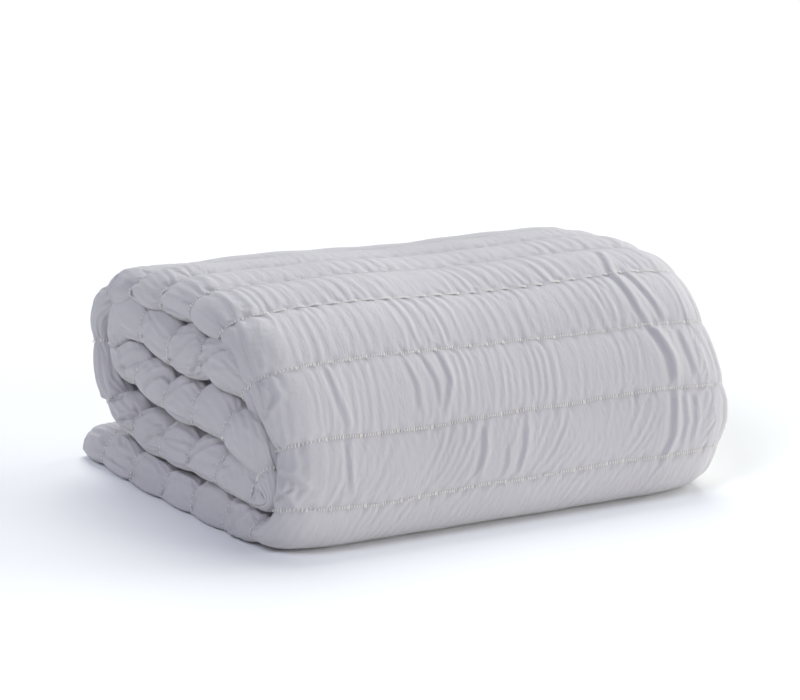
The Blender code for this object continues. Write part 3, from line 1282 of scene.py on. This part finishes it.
@dataclass
class MeshParts:
    """Points, faces and cut places that are gathered before they become a mesh."""

    points: list[np.ndarray] = field(default_factory=list)
    cut: list[np.ndarray] = field(default_factory=list)
    quads: list[np.ndarray] = field(default_factory=list)
    triangles: list[np.ndarray] = field(default_factory=list)
    count: int = 0

    def add_points(self, points: np.ndarray, width: np.ndarray, along: np.ndarray) -> np.ndarray:
        """Adds a patch of points.

        Args:
            points: the patch, of shape (rows, columns, 3).
            width: the cut's width place of every point.
            along: the length along the winding line of every point.

        Returns:
            The points' numbers in the same rows and columns.
        """
        shape = points.shape[:-1]
        number = np.arange(int(np.prod(shape))).reshape(shape) + self.count
        self.points.append(points.reshape(-1, 3))
        self.cut.append(np.stack([width.ravel(), along.ravel()], axis=1))
        self.count += number.size
        return number

    def add_grid(self, number: np.ndarray, flip: bool) -> None:
        """Adds the faces between the rows and columns of a patch.

        Args:
            number: the patch's point numbers.
            flip: whether the faces point the other way.
        """
        a, b, c, d = number[:-1, :-1], number[:-1, 1:], number[1:, 1:], number[1:, :-1]
        corners = (a, b, c, d) if flip else (a, d, c, b)
        self.quads.append(np.stack([v.ravel() for v in corners], axis=1))

    def add_zip(
        self, one: np.ndarray, one_at: np.ndarray, other: np.ndarray, other_at: np.ndarray, flip: bool
    ) -> None:
        """Joins two rows of points that run side by side with triangles.

        Args:
            one: point numbers of the first row.
            one_at: their places, from 0 to 1, rising.
            other: point numbers of the second row.
            other_at: their places, from 0 to 1, rising.
            flip: whether the faces point the other way.
        """
        i = j = 0
        found = []
        while i < len(one) - 1 or j < len(other) - 1:
            step_one = j == len(other) - 1 or (i < len(one) - 1 and one_at[i + 1] <= other_at[j + 1])
            if step_one:
                found.append((one[i], other[j], one[i + 1]))
                i += 1
            else:
                found.append((one[i], other[j], other[j + 1]))
                j += 1
        faces = np.array(found)
        self.triangles.append(faces if flip else faces[:, ::-1])

    def to_object(self, name: str, sharp: np.ndarray) -> bpy.types.Object:
        """Makes the mesh and its object.

        Args:
            name: the object's name.
            sharp: point numbers between which edges are sharp.

        Returns:
            The new object, smooth shaded, with its cut places as a UV map in metres.
        """
        points = np.concatenate(self.points)
        cut = np.concatenate(self.cut)
        quads, triangles = np.concatenate(self.quads), np.concatenate(self.triangles)
        mesh = bpy.data.meshes.new(name)
        mesh.vertices.add(len(points))
        mesh.vertices.foreach_set("co", points.astype(np.float32).ravel())
        corners = np.concatenate([quads.ravel(), triangles.ravel()])
        starts = np.concatenate([np.arange(len(quads)) * 4, len(quads) * 4 + np.arange(len(triangles)) * 3])
        mesh.loops.add(len(corners))
        mesh.loops.foreach_set("vertex_index", corners.astype(np.int32))
        mesh.polygons.add(len(starts))
        mesh.polygons.foreach_set("loop_start", starts.astype(np.int32))
        mesh.polygons.foreach_set("use_smooth", np.ones(len(starts), bool))
        mesh.update(calc_edges=True)
        uv = mesh.uv_layers.new(name=CUT_MAP)
        uv.data.foreach_set("uv", cut[corners].astype(np.float32).ravel())
        edges = np.zeros(len(mesh.edges) * 2, np.int32)
        mesh.edges.foreach_get("vertices", edges)
        hard = np.isin(edges.reshape(-1, 2), sharp).all(axis=1)
        layer = mesh.attributes.new("sharp_edge", "BOOLEAN", "EDGE")
        layer.data.foreach_set("value", hard)
        mesh.validate()
        return linked(bpy.data.objects.new(name, mesh))


# The share of a channel's rows that are evenly spaced, where the rest gather at its lines.
EVEN_ROWS = 0.45


def eased(count: int) -> np.ndarray:
    """The rows across a channel from 0 to 1, closer together at its two lines."""
    t = np.linspace(0.0, 1.0, count + 1)
    return EVEN_ROWS * t + (1.0 - EVEN_ROWS) * (0.5 - 0.5 * np.cos(math.pi * t))


@dataclass(frozen=True)
class Columns:
    """A piece's places around the section: the seen face, the rest of the face and the whole back."""

    face: np.ndarray
    inner: np.ndarray
    back: np.ndarray


@dataclass(frozen=True)
class Patch:
    """A patch of points in a mesh: their numbers, and their rows' places along the piece from 0 to 1."""

    number: np.ndarray
    at: np.ndarray


@dataclass
class ClothPiece:
    """A length of the wound sheet, from one bound to another, as a closed mesh.

    Fine is the column width on the outer leg and step that on the folded edges, in metres. Rows are for one channel.
    """

    name: str
    first: int
    last: int
    fine: float
    step: float
    rows: int
    turn_length: float = 0.064
    coarse_rows: int = 8
    flat: float = 0.55
    hem_places: tuple[float, ...] = (0.0, 0.0004, 0.0011, 0.0022, 0.004, 0.0062, 0.008, 0.0095, 0.011, 0.014, 0.018)
    hem_to: float = 0.022
    fine_near: float = 0.075
    inner_near: float = 0.055
    coarsest_fine: float = 0.006
    far: tuple[float, float] = (0.03, 0.085)
    far_columns: int = 16
    leg_columns: int = 18

    @staticmethod
    def run(leg: Leg, count: int, low: float = 0.0, high: float = 1.0) -> np.ndarray:
        """Evenly spaced places on a leg of the section.

        Args:
            leg: the leg.
            count: how many places.
            low: the share of the leg at the first.
            high: the share of the leg at the last.

        Returns:
            Places around the section.
        """
        return leg.value + np.linspace(low, high, count)

    def columns(self) -> Columns:
        """Spaces the columns, closer together where the cloth is seen and at the hems.

        Returns:
            The places around the section.
        """
        flat, many = self.flat, self.leg_columns
        hem = np.array(self.hem_places) / flat
        near = int(self.fine_near / self.step) + 1
        if self.fine > self.coarsest_fine:
            far = np.linspace(self.far[0] / flat, 1.0 - self.far[1] / flat, self.far_columns)
            outer = np.concatenate([hem, far, np.linspace(1.0 - self.fine_near / flat, 1.0, near)])
        else:
            outer = np.concatenate([hem, np.linspace(self.hem_to / flat, 1.0, int(0.53 / self.fine) + 1)])
        face = [
            outer,
            self.run(Leg.OUTER_TURN, int(self.turn_length / self.step) + 1)[1:],
            self.run(Leg.INNERMOST, int(self.inner_near / self.step) + 1, 0.0, self.inner_near / flat)[1:],
            self.run(Leg.INNERMOST, self.far_columns, self.fine_near / flat, 1.0 - 0.02 / flat),
            self.run(Leg.INNERMOST, 2, 1.0 - 0.01 / flat),
            self.run(Leg.RIGHT_FOLD, 9)[1:],
        ]
        inner = [
            self.run(Leg.THIRD, many),
            self.run(Leg.INNER_TURN, 7)[1:],
            self.run(Leg.SECOND, many)[1:-1],
            7.0 - hem[::-1],
        ]
        back = [
            hem,
            self.run(Leg.OUTER, many, 0.04),
            self.run(Leg.OUTER_TURN, 10)[1:],
            self.run(Leg.INNERMOST, many)[1:],
            self.run(Leg.RIGHT_FOLD, 6)[1:],
            self.run(Leg.THIRD, many)[1:],
            self.run(Leg.INNER_TURN, 6)[1:],
            self.run(Leg.SECOND, many)[1:-1],
            7.0 - hem[::-1],
        ]
        inner_all = np.concatenate(inner)
        inner_all = np.sort(inner_all[np.concatenate([[True], np.diff(inner_all) > 1e-5])])
        return Columns(np.concatenate(face), inner_all, np.unique(np.concatenate(back)))

    def build(self, sheet: FoldedSheet, relief: Relief) -> bpy.types.Object:
        """Makes the piece.

        Args:
            sheet: the folded sheet's shape.
            relief: its puckers and creases.

        Returns:
            The piece's object, without a material.
        """
        parts = MeshParts()
        columns = self.columns()
        fine = self._patch(parts, sheet, relief, columns.face, self.rows, Side.FACE)
        coarse = self._patch(parts, sheet, relief, columns.inner, self.coarse_rows, Side.FACE)
        behind = self._patch(parts, sheet, relief, columns.back, self.coarse_rows, Side.BACK)
        for patch, flip in ((fine, False), (coarse, False), (behind, True)):
            parts.add_grid(patch.number, flip)
        parts.add_zip(fine.number[:, -1], fine.at, coarse.number[:, 0], coarse.at, False)
        parts.add_zip(fine.number[:, 0], fine.at, behind.number[:, 0], coarse.at, True)
        parts.add_zip(coarse.number[:, -1], coarse.at, behind.number[:, -1], coarse.at, False)
        sharp = []
        ring_at = np.concatenate([columns.face, columns.inner]) / len(Leg)
        for row, flip in ((0, True), (-1, False)):
            ring = np.concatenate([fine.number[row], coarse.number[row]])
            parts.add_zip(ring, ring_at, behind.number[row], columns.back / len(Leg), flip)
            sharp += [ring, behind.number[row]]
        return parts.to_object(self.name, np.concatenate(sharp))

    def _patch(
        self, parts: MeshParts, sheet: FoldedSheet, relief: Relief, q: np.ndarray, rows: int, side: Side
    ) -> Patch:
        """Adds one patch of points over all the piece's channels, with each shared row once.

        Args:
            parts: where the points go.
            sheet: the folded sheet's shape.
            relief: its puckers and creases.
            q: the columns.
            rows: the rows for one channel.
            side: the cloth's face or its back.

        Returns:
            The patch.
        """
        points, width, along, at = [], [], [], []
        for channel in range(self.first, self.last):
            phases = eased(rows)
            p, w, s = sheet.grid(channel, phases, q, side, relief)
            keep = slice(0, None) if channel == self.first else slice(1, None)
            if channel > self.first:
                points[-1][-1] = 0.5 * (points[-1][-1] + p[0])
            points.append(p[keep])
            width.append(w[keep])
            along.append(s[keep])
            at.append((channel - self.first + phases[keep]) / (self.last - self.first))
        numbers = parts.add_points(np.concatenate(points), np.concatenate(width), np.concatenate(along))
        return Patch(numbers, np.concatenate(at))


PIECES = (
    ClothPiece("coverlet_bottom_run", 0, 6, 0.02, 0.0014, 32),
    ClothPiece("coverlet_toe", 6, 8, 0.0015, 0.0014, 42, 0.090),
    ClothPiece("coverlet_front", 8, 10, 0.0014, 0.0014, 46, 0.090),
    ClothPiece("coverlet_crown", 10, 13, 0.0016, 0.0014, 38, 0.080),
    ClothPiece("coverlet_back", 13, 17, 0.0028, 0.0014, 30),
    ClothPiece("coverlet_lower_run", 17, 21, 0.02, 0.0013, 34),
    ClothPiece("coverlet_middle_run", 21, 26, 0.02, 0.0013, 34),
    ClothPiece("coverlet_upper_run", 26, 32, 0.02, 0.0013, 34),
)


# ------------------------------------------------------------------ finishes


@dataclass(frozen=True)
class ClothFinish:
    """The soft matt cloth: its colour and the sizes of its weave and fine crinkles."""

    name: str = "Soft lavender-grey cloth"
    colour: tuple[float, float, float] = (0.575, 0.55, 0.565)
    roughness: float = 0.85
    sheen: float = 0.25
    sheen_roughness: float = 0.45
    weave_pitch: float = 0.0006
    bump_strength: float = 0.6
    bump_distance: float = 0.0022

    def material(self, surface: bpy.types.NodeTree) -> bpy.types.Material:
        """Makes the material around the shared surface group.

        Args:
            surface: the group.

        Returns:
            The cloth's material.
        """
        made = bpy.data.materials.new(self.name)
        made.use_nodes = True
        tree = made.node_tree
        shader = tree.nodes["Principled BSDF"]
        shader.inputs["Base Color"].default_value = (*self.colour, 1.0)
        shader.inputs["Roughness"].default_value = self.roughness
        shader.inputs["Sheen Weight"].default_value = self.sheen
        shader.inputs["Sheen Roughness"].default_value = self.sheen_roughness
        group = tree.nodes.new("ShaderNodeGroup")
        group.node_tree = surface
        group.inputs["Colour"].default_value = (*self.colour, 1.0)
        group.inputs["Weave pitch"].default_value = self.weave_pitch
        tree.links.new(group.outputs["Colour"], shader.inputs["Base Color"])
        tree.links.new(group.outputs["Roughness"], shader.inputs["Roughness"])
        bump = tree.nodes.new("ShaderNodeBump")
        bump.inputs["Strength"].default_value = self.bump_strength
        bump.inputs["Distance"].default_value = self.bump_distance
        tree.links.new(group.outputs["Height"], bump.inputs["Height"])
        tree.links.new(bump.outputs["Normal"], shader.inputs["Normal"])
        return made


@dataclass(frozen=True)
class ThreadFinish:
    """The cream stitching thread."""

    name: str = "Cream thread"
    colour: tuple[float, float, float] = (0.93, 0.90, 0.84)
    darkest: float = 0.85
    fibre_scale: float = 900.0
    roughness: float = 0.6

    def material(self) -> bpy.types.Material:
        """Makes the thread's material.

        Returns:
            The material, a little uneven in colour as spun thread is.
        """
        made = bpy.data.materials.new(self.name)
        made.use_nodes = True
        tree = made.node_tree
        shader = tree.nodes["Principled BSDF"]
        shader.inputs["Roughness"].default_value = self.roughness
        noise = tree.nodes.new("ShaderNodeTexNoise")
        noise.inputs["Scale"].default_value = self.fibre_scale
        ramp = tree.nodes.new("ShaderNodeMix")
        ramp.data_type = "RGBA"
        ramp.inputs[6].default_value = (*[c * self.darkest for c in self.colour], 1.0)
        ramp.inputs[7].default_value = (*self.colour, 1.0)
        where = tree.nodes.new("ShaderNodeTexCoord")
        tree.links.new(where.outputs["Object"], noise.inputs["Vector"])
        tree.links.new(noise.outputs["Fac"], ramp.inputs[0])
        tree.links.new(ramp.outputs[2], shader.inputs["Base Color"])
        return made


def cloth_surface_group() -> bpy.types.NodeTree:
    """Makes the shared surface of the cloth, on its cut places in metres.

    Returns:
        The group, which puts out the varied colour, the roughness and the fine height.
    """
    tree = bpy.data.node_groups.new("Cloth surface", "ShaderNodeTree")
    face = tree.interface
    face.new_socket("Colour", in_out="INPUT", socket_type="NodeSocketColor")
    face.new_socket("Weave pitch", in_out="INPUT", socket_type="NodeSocketFloat")
    face.new_socket("Colour", in_out="OUTPUT", socket_type="NodeSocketColor")
    face.new_socket("Roughness", in_out="OUTPUT", socket_type="NodeSocketFloat")
    face.new_socket("Height", in_out="OUTPUT", socket_type="NodeSocketFloat")
    nodes, links = tree.nodes, tree.links
    start, end = nodes.new("NodeGroupInput"), nodes.new("NodeGroupOutput")
    cut = nodes.new("ShaderNodeUVMap")
    cut.uv_map = CUT_MAP

    def noise(scale: tuple[float, float], detail: float, rough: float) -> bpy.types.Node:
        """Adds a noise texture on the cut places.

        Args:
            scale: its scale across and along the cloth.
            detail: its detail.
            rough: its roughness.

        Returns:
            The texture's node.
        """
        turn = nodes.new("ShaderNodeMapping")
        turn.inputs["Scale"].default_value = (scale[0], scale[1], 1.0)
        made = nodes.new("ShaderNodeTexNoise")
        made.inputs["Scale"].default_value = 1.0
        made.inputs["Detail"].default_value = detail
        made.inputs["Roughness"].default_value = rough
        links.new(cut.outputs["UV"], turn.inputs["Vector"])
        links.new(turn.outputs["Vector"], made.inputs["Vector"])
        return made

    def maths(operation: str, a: bpy.types.NodeSocket | float, b: bpy.types.NodeSocket | float) -> bpy.types.NodeSocket:
        """Adds a math node.

        Args:
            operation: what it does.
            a: its first value, a socket or a number.
            b: its second.

        Returns:
            Its output.
        """
        node = nodes.new("ShaderNodeMath")
        node.operation = operation
        for socket, value in zip(node.inputs, (a, b)):
            if isinstance(value, (int, float)):
                socket.default_value = value
            else:
                links.new(value, socket)
        return node.outputs[0]

    crinkle = noise((210.0, 55.0), 3.0, 0.55)
    fuzz = noise((1500.0, 1500.0), 2.0, 0.6)
    cloud = noise((7.0, 7.0), 3.0, 0.5)
    split = nodes.new("ShaderNodeSeparateXYZ")
    links.new(cut.outputs["UV"], split.inputs[0])
    threads = []
    for axis in ("X", "Y"):
        turns = maths("DIVIDE", split.outputs[axis], start.outputs["Weave pitch"])
        threads.append(maths("SINE", maths("MULTIPLY", turns, 2 * math.pi), 0.0))
    weave = maths("MULTIPLY", *threads)
    height = maths("ADD", crinkle.outputs["Fac"], maths("MULTIPLY", fuzz.outputs["Fac"], 0.12))
    height = maths("ADD", height, maths("MULTIPLY", weave, 0.035))
    links.new(height, end.inputs["Height"])
    shade = nodes.new("ShaderNodeMapRange")
    for name, value in (("From Min", 0.3), ("From Max", 0.7), ("To Min", 0.965), ("To Max", 1.02)):
        shade.inputs[name].default_value = value
    links.new(cloud.outputs["Fac"], shade.inputs["Value"])
    tint = nodes.new("ShaderNodeVectorMath")
    tint.operation = "SCALE"
    links.new(start.outputs["Colour"], tint.inputs[0])
    fleck = maths("MULTIPLY", maths("SUBTRACT", fuzz.outputs["Fac"], 0.5), 0.10)
    links.new(maths("ADD", shade.outputs["Result"], fleck), tint.inputs["Scale"])
    links.new(tint.outputs["Vector"], end.inputs["Colour"])
    rough = maths("ADD", maths("MULTIPLY", crinkle.outputs["Fac"], 0.1), 0.80)
    links.new(rough, end.inputs["Roughness"])
    return tree


# ------------------------------------------------------------------ stitching


@dataclass
class Stitching:
    """The thread on the outer face: small upright ticks, gathered into knots at even places.

    Lines that show carry thread nearly from hem to hem, and the others only round the folded edges.
    """

    sheet: FoldedSheet
    relief: Relief
    pitch: float = 0.0029
    tick: float = 0.0030
    knot_tick: float = 0.0052
    radius: float = 0.00046
    sides: int = 6
    lift: float = 0.0014
    seen_lines: range = range(7, 18)
    first: float = 0.006
    first_hidden: float = 0.45
    end: float = 0.66
    knot_reach: float = 0.0014
    after_knot: float = 0.005
    jitter: float = 0.0001
    knot_step: float = 0.0012
    uneven: tuple[float, float] = (0.85, 1.15)
    lean: tuple[float, float] = (0.22, 0.08)
    line_range: tuple[float, float] = (0.012, 2.3)
    line_samples: int = 1400
    step: float = 0.004

    def prototype(self) -> tuple[np.ndarray, list[tuple[int, ...]]]:
        """Models one tick along Z: a short rounded cylinder of unit length and radius.

        Returns:
            Its points and its faces, in an order that is the same each run.
        """
        deselect_everything()
        bpy.ops.mesh.primitive_cylinder_add(vertices=self.sides, radius=1.0, depth=0.6, location=(0, 0, 0))
        tick = bpy.context.object
        bpy.ops.object.mode_set(mode="EDIT")
        bpy.ops.mesh.select_mode(type="FACE")
        bpy.ops.mesh.select_all(action="DESELECT")
        bpy.ops.object.mode_set(mode="OBJECT")
        for face in tick.data.polygons:
            face.select = abs(face.normal.z) > 0.9
        bpy.ops.object.mode_set(mode="EDIT")
        bpy.ops.mesh.extrude_region_shrink_fatten(TRANSFORM_OT_shrink_fatten={"value": 0.2})
        bpy.ops.transform.resize(value=(0.45, 0.45, 1.0))
        bpy.ops.object.mode_set(mode="OBJECT")
        points = np.array([v.co[:] for v in tick.data.vertices])
        order = np.lexsort(np.round(points, 4).T)
        rank = np.argsort(order)
        faces = []
        for polygon in tick.data.polygons:
            face = [int(rank[v]) for v in polygon.vertices]
            first = face.index(min(face))
            faces.append(tuple(face[first:] + face[:first]))
        mesh = tick.data
        bpy.data.objects.remove(tick)
        bpy.data.meshes.remove(mesh)
        return points[order], sorted(faces)

    def line_frames(self, bound: int, widths: np.ndarray) -> tuple[np.ndarray, np.ndarray, np.ndarray]:
        """Where thread lies on a stitched line.

        Args:
            bound: the line's number.
            widths: the cut's width places.

        Returns:
            Points on the cloth, unit vectors along the line and unit vectors out of the cloth.
        """
        q = np.linspace(*self.line_range, self.line_samples)
        phases = np.array([0.0])
        points, width, _ = self.sheet.grid(bound, phases, q, Side.FACE, None)
        points, width = points[0], width[0]
        at = np.interp(widths, width, q)

        def on(curve: np.ndarray, where: np.ndarray) -> np.ndarray:
            """The points of a curve over q at some places."""
            return np.stack([np.interp(where, q, curve[:, k]) for k in range(3)], axis=1)

        place = on(points, at)
        ahead = on(points, at + self.step) - on(points, at - self.step)
        along = ahead / np.linalg.norm(ahead, axis=1, keepdims=True)
        back, _, _ = self.sheet.grid(bound, phases, q, Side.BACK, None)
        out = on(points - back[0], at)
        out -= along * (out * along).sum(1, keepdims=True)
        out /= np.maximum(np.linalg.norm(out, axis=1, keepdims=True), 1e-9)
        place = place + out * self.relief.hollows(widths, bound)[:, None]
        return place, along, out

    def build(self, name: str, bounds: range) -> bpy.types.Object:
        """Lays the thread on some lines.

        Args:
            name: the object's name.
            bounds: the lines' numbers.

        Returns:
            One object with every tick on those lines.
        """
        points, faces = self.prototype()
        rng = np.random.default_rng(len(name) * 7 + bounds[0])
        all_points, all_faces = [], []
        for bound in bounds:
            clusters = self.relief.clusters(bound)
            start = self.first if bound in self.seen_lines else self.first_hidden
            widths = np.arange(start, self.end, self.pitch)
            widths = widths + rng.normal(0, self.jitter, len(widths))
            lengths = self.tick_lengths(widths, clusters) * rng.uniform(*self.uneven, len(widths))
            extra = clusters[(clusters > widths[0]) & (clusters < widths[-1])] + self.knot_step
            widths = np.concatenate([widths, extra])
            lengths = np.concatenate([lengths, np.full(len(extra), self.knot_tick * 0.9)])
            place, along, out = self.line_frames(bound, widths)
            lean = rng.normal(*self.lean, len(widths))[:, None]
            up = np.cross(out, along) + along * lean
            up /= np.linalg.norm(up, axis=1, keepdims=True)
            side = np.cross(out, up)
            centre = place + out * self.lift
            ticks = (
                centre[:, None, :]
                + up[:, None, :] * (points[None, :, 2:3] * lengths[:, None, None])
                + side[:, None, :] * (points[None, :, 0:1] * self.radius)
                + out[:, None, :] * (points[None, :, 1:2] * self.radius)
            )
            for _ in widths:
                shift = len(all_faces) // len(faces) * len(points)
                all_faces += [tuple(v + shift for v in face) for face in faces]
            all_points.append(ticks.reshape(-1, 3))
        mesh = bpy.data.meshes.new(name)
        mesh.from_pydata(np.concatenate(all_points).tolist(), [], all_faces)
        mesh.polygons.foreach_set("use_smooth", np.ones(len(mesh.polygons), bool))
        mesh.update()
        return linked(bpy.data.objects.new(name, mesh))

    def tick_lengths(self, widths: np.ndarray, clusters: np.ndarray) -> np.ndarray:
        """How long each tick is: long in a knot, and longer than most just after one.

        Args:
            widths: the ticks' width places.
            clusters: the knots' width places.

        Returns:
            Lengths in metres.
        """
        gaps = widths[:, None] - clusters[None, :]
        in_knot = np.abs(gaps).min(axis=1) < self.knot_reach
        after = gaps.min(axis=1, where=widths[:, None] > clusters[None, :] - MM, initial=1.0) < self.after_knot
        return np.where(in_knot, self.knot_tick, np.where(after, self.tick * 1.3, self.tick))


# ------------------------------------------------------------------ the coverlet


@dataclass
class Coverlet:
    """The whole coverlet: its cloth in lengths that are easy to hold, and its stitching."""

    width: float = 2.40
    cloth: ClothFinish = field(default_factory=ClothFinish)
    thread: ThreadFinish = field(default_factory=ThreadFinish)

    def build(self) -> list[bpy.types.Object]:
        """Makes and dresses every piece.

        Returns:
            The pieces, each length of cloth before its stitching.
        """
        sheet = FoldedSheet()
        relief = Relief(sheet)
        cloth = self.cloth.material(cloth_surface_group())
        thread = self.thread.material()
        made = []
        stitching = Stitching(sheet, relief)
        for piece in PIECES:
            body = piece.build(sheet, relief)
            body.data.materials.append(cloth)
            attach(body, "root")
            lines = range(max(piece.first, 1), piece.last)
            seams = stitching.build(piece.name + "_stitches", lines)
            seams.data.materials.append(thread)
            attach(seams, "root")
            length = float(sheet.bounds[piece.last] - sheet.bounds[piece.first])
            made += [body, seams]
        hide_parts(NODE)
        return made


# ------------------------------------------------------------------ studio


@dataclass(frozen=True)
class Lamp:
    """A broad, even light: the way towards it, its strength, its angle in degrees and its colour."""

    name: str
    direction: tuple[float, float, float]
    strength: float
    spread: float
    colour: tuple[float, float, float]

    def hang(self) -> None:
        """Adds the light to the scene."""
        data = bpy.data.lights.new(self.name, "SUN")
        data.energy = self.strength
        data.angle = math.radians(self.spread)
        data.color = self.colour
        made = linked(bpy.data.objects.new(self.name, data))
        made.rotation_euler = Vector(self.direction).to_track_quat("Z", "Y").to_euler()


LAMPS = (
    Lamp("top light", (0.4, 0.7, 0.9), 1.9, 40.0, (0.97, 1.0, 0.97)),
    Lamp("side light", (1.0, 0.0, 0.35), 1.4, 40.0, (0.97, 1.0, 0.97)),
    Lamp("front light", (0.80, -0.75, 0.10), 2.12, 40.0, (0.98, 1.0, 0.97)),
    Lamp("left light", (-0.8, -0.2, 0.95), 1.12, 30.0, (0.80, 0.84, 1.0)),
)


@dataclass
class Studio:
    """The pale floor, the soft light and the camera.

    The camera stands at a turn and a rise in degrees, at a distance from its aim in metres.
    """

    floor_half: float = 14.0
    floor_colour: tuple[float, float, float] = (0.985, 0.985, 0.985)
    turn: float = -27.9
    rise: float = 15.3
    distance: float = 4.028
    lens: float = 162.0
    aim: tuple[float, float, float] = (-0.0026, 0.01075, 0.1231)
    shift: tuple[float, float] = (-0.00625, 0.01625)
    white: tuple[float, float, float] = (1.0, 1.0, 1.0)
    white_strength: float = 1.05
    cool: tuple[float, float, float] = (0.86, 0.88, 1.0)
    cool_strength: float = 0.20

    def floor(self) -> None:
        """Lays the floor."""
        deselect_everything()
        bpy.ops.mesh.primitive_plane_add(size=2 * self.floor_half, location=(0, 0, 0))
        made = bpy.context.object
        made.name = "studio_floor"
        paint = bpy.data.materials.new("Pale floor")
        paint.use_nodes = True
        shader = paint.node_tree.nodes["Principled BSDF"]
        shader.inputs["Base Color"].default_value = (*self.floor_colour, 1.0)
        shader.inputs["Roughness"].default_value = 0.9
        shader.inputs["Specular IOR Level"].default_value = 0.1
        made.data.materials.append(paint)

    def sky(self) -> None:
        """Surrounds the scene with an even, faintly cool light that looks white itself."""
        world = bpy.data.worlds.new("Studio light")
        bpy.context.scene.world = world
        world.use_nodes = True
        nodes, links = world.node_tree.nodes, world.node_tree.links
        nodes.clear()
        out = nodes.new("ShaderNodeOutputWorld")
        mix = nodes.new("ShaderNodeMixShader")
        seen = nodes.new("ShaderNodeBackground")
        seen.inputs["Color"].default_value = (*self.white, 1.0)
        seen.inputs["Strength"].default_value = self.white_strength
        lit = nodes.new("ShaderNodeBackground")
        lit.inputs["Color"].default_value = (*self.cool, 1.0)
        lit.inputs["Strength"].default_value = self.cool_strength
        path = nodes.new("ShaderNodeLightPath")
        links.new(path.outputs["Is Camera Ray"], mix.inputs[0])
        links.new(lit.outputs[0], mix.inputs[1])
        links.new(seen.outputs[0], mix.inputs[2])
        links.new(mix.outputs[0], out.inputs[0])

    def camera(self) -> None:
        """Sets the long lens at its place."""
        turn, rise = math.radians(self.turn), math.radians(self.rise)
        view = Vector((-math.sin(turn) * math.cos(rise), math.cos(turn) * math.cos(rise), -math.sin(rise)))
        data = bpy.data.cameras.new("studio_camera")
        data.lens = self.lens
        data.sensor_width = 36.0
        data.shift_x, data.shift_y = self.shift
        data.clip_end = 100.0
        made = linked(bpy.data.objects.new("studio_camera", data))
        made.location = Vector(self.aim) - view * self.distance
        made.rotation_euler = view.to_track_quat("-Z", "Y").to_euler()
        bpy.context.scene.camera = made

    def build(self) -> None:
        """Sets up the whole studio."""
        self.floor()
        self.sky()
        for lamp in LAMPS:
            lamp.hang()
        self.camera()
        bpy.context.scene.view_settings.view_transform = "Standard"


def main() -> None:
    """Builds the coverlet and its studio."""
    logging.basicConfig(level=logging.INFO, format="%(message)s")
    for piece in Coverlet().build():
        LOG.info("%s: %d faces", piece.name, len(piece.data.polygons))
    Studio().build()


if __name__ == "__main__":
    main()
